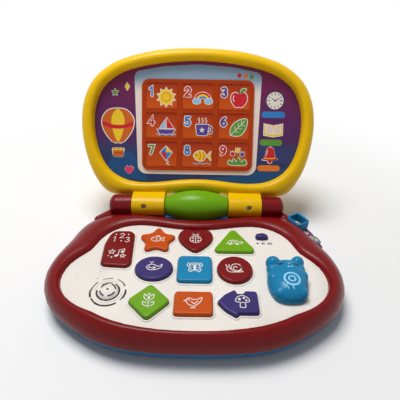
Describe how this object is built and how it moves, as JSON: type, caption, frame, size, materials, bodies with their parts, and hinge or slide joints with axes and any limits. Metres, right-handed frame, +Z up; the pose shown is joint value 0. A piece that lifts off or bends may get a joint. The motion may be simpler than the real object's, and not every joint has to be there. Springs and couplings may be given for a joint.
{
  "type": "toy laptop computer",
  "caption": "Toy laptop with a puffy base, shape keys, rocker, sliding mouse and picture slider, and a lid with a picture screen on a friction hinge.",
  "frame": {"origin": "on the table, under the middle of the open toy's bounding box", "axes": "+X to the user's right, +Y away from the user towards the lid, +Z up"},
  "size_m": [0.294, 0.2898, 0.1932],
  "materials": {
    "base_bottom": "moulded, glossy",
    "base_top": "moulded, glossy",
    "keyboard_plate": "moulded, glossy",
    "hinge_cover": "moulded, glossy",
    "hinge_pins": "zinc plated",
    "main_board": "satin",
    "key_pad_sheet": "matt",
    "speaker": "satin",
    "volume_knob": "moulded, glossy",
    "volume_switch": "satin",
    "rocker": "moulded, glossy",
    "star_key": "moulded, glossy",
    "heart_key": "moulded, glossy",
    "triangle_key": "moulded, glossy",
    "oval_key": "moulded, glossy",
    "square_key": "moulded, glossy",
    "circle_key": "moulded, glossy",
    "diamond_key": "moulded, glossy",
    "rectangle_key": "moulded, glossy",
    "arrow_key": "moulded, glossy",
    "mouse_carrier": "satin",
    "mouse": "moulded, glossy",
    "picture_frame_slider": "moulded, glossy",
    "picture_strip": "satin",
    "battery_door": "moulded, glossy",
    "battery_door_screw": "zinc plated",
    "batteries": "printed sleeve",
    "battery_contacts": "zinc plated",
    "housing_screws": "zinc plated",
    "rubber_feet": "matt",
    "lid_frame": "moulded, glossy",
    "lid_back": "moulded, glossy",
    "picture_sheet": "satin",
    "window_panel": "satin",
    "light_grid": "satin",
    "light_board": "satin",
    "lamps": "moulded, glossy",
    "knuckle_screws": "zinc plated",
    "lid_screws": "zinc plated"
  },
  "bodies": {
    "base": {"base_bottom": "base_bottom", "base_top": "base_top", "keyboard_plate": "keyboard_plate", "hinge_cover": "hinge_cover", "hinge_pins": "hinge_pins", "main_board": "main_board", "key_pad_sheet": "key_pad_sheet", "speaker": "speaker", "volume_switch": "volume_switch", "picture_strip": "picture_strip", "battery_door": "battery_door", "battery_door_screw": "battery_door_screw", "batteries": "batteries", "battery_contacts": "battery_contacts", "housing_screws": "housing_screws", "rubber_feet": "rubber_feet"},
    "lid": {"lid_frame": "lid_frame", "lid_back": "lid_back", "picture_sheet": "picture_sheet", "window_panel": "window_panel", "light_grid": "light_grid", "light_board": "light_board", "lamps": "lamps", "knuckle_screws": "knuckle_screws", "lid_screws": "lid_screws"},
    "rocker": {"rocker": "rocker"},
    "volume_knob": {"volume_knob": "volume_knob"},
    "mouse_carrier": {"mouse_carrier": "mouse_carrier"},
    "mouse": {"mouse": "mouse"},
    "picture_frame_slider": {"picture_frame_slider": "picture_frame_slider"},
    "star_key": {"star_key": "star_key"},
    "heart_key": {"heart_key": "heart_key"},
    "triangle_key": {"triangle_key": "triangle_key"},
    "oval_key": {"oval_key": "oval_key"},
    "square_key": {"square_key": "square_key"},
    "circle_key": {"circle_key": "circle_key"},
    "diamond_key": {"diamond_key": "diamond_key"},
    "rectangle_key": {"rectangle_key": "rectangle_key"},
    "arrow_key": {"arrow_key": "arrow_key"}
  },
  "joints": [
    {"name": "lid_hinge", "type": "hinge", "parent": "base", "child": "lid", "pos_m": [0, 0.0386, 0.034], "axis": [1, 0, 0], "range_deg": [-12, 118]},
    {"name": "star_press", "type": "slide", "parent": "base", "child": "star_key", "axis": [0, 0, -1], "range_m": [0, 0.002], "stiffness_N_per_m": 300, "springref_m": -0.001},
    {"name": "heart_press", "type": "slide", "parent": "base", "child": "heart_key", "axis": [0, 0, -1], "range_m": [0, 0.002], "stiffness_N_per_m": 300, "springref_m": -0.001},
    {"name": "triangle_press", "type": "slide", "parent": "base", "child": "triangle_key", "axis": [0, 0, -1], "range_m": [0, 0.002], "stiffness_N_per_m": 300, "springref_m": -0.001},
    {"name": "oval_press", "type": "slide", "parent": "base", "child": "oval_key", "axis": [0, 0, -1], "range_m": [0, 0.002], "stiffness_N_per_m": 300, "springref_m": -0.001},
    {"name": "square_press", "type": "slide", "parent": "base", "child": "square_key", "axis": [0, 0, -1], "range_m": [0, 0.002], "stiffness_N_per_m": 300, "springref_m": -0.001},
    {"name": "circle_press", "type": "slide", "parent": "base", "child": "circle_key", "axis": [0, 0, -1], "range_m": [0, 0.002], "stiffness_N_per_m": 300, "springref_m": -0.001},
    {"name": "diamond_press", "type": "slide", "parent": "base", "child": "diamond_key", "axis": [0, 0, -1], "range_m": [0, 0.002], "stiffness_N_per_m": 300, "springref_m": -0.001},
    {"name": "rectangle_press", "type": "slide", "parent": "base", "child": "rectangle_key", "axis": [0, 0, -1], "range_m": [0, 0.002], "stiffness_N_per_m": 300, "springref_m": -0.001},
    {"name": "arrow_press", "type": "slide", "parent": "base", "child": "arrow_key", "axis": [0, 0, -1], "range_m": [0, 0.002], "stiffness_N_per_m": 300, "springref_m": -0.001},
    {"name": "rocker_tilt", "type": "hinge", "parent": "base", "child": "rocker", "pos_m": [-0.0795, -0.0359, 0.0246], "axis": [1, 0, 0], "range_deg": [-3, 3], "stiffness_Nm_per_rad": 0.3},
    {"name": "volume_slide", "type": "slide", "parent": "base", "child": "volume_knob", "axis": [1, 0, 0], "range_m": [-0.004, 0.004]},
    {"name": "mouse_side", "type": "slide", "parent": "base", "child": "mouse_carrier", "axis": [1, 0, 0], "range_m": [-0.004, 0.004]},
    {"name": "mouse_forward", "type": "slide", "parent": "mouse_carrier", "child": "mouse", "axis": [0, 1, 0], "range_m": [-0.003, 0.003]},
    {"name": "picture_slide", "type": "slide", "parent": "base", "child": "picture_frame_slider", "axis": [0.5062, -0.8624, 0], "range_m": [-0.0005, 0.022]}
  ]
}
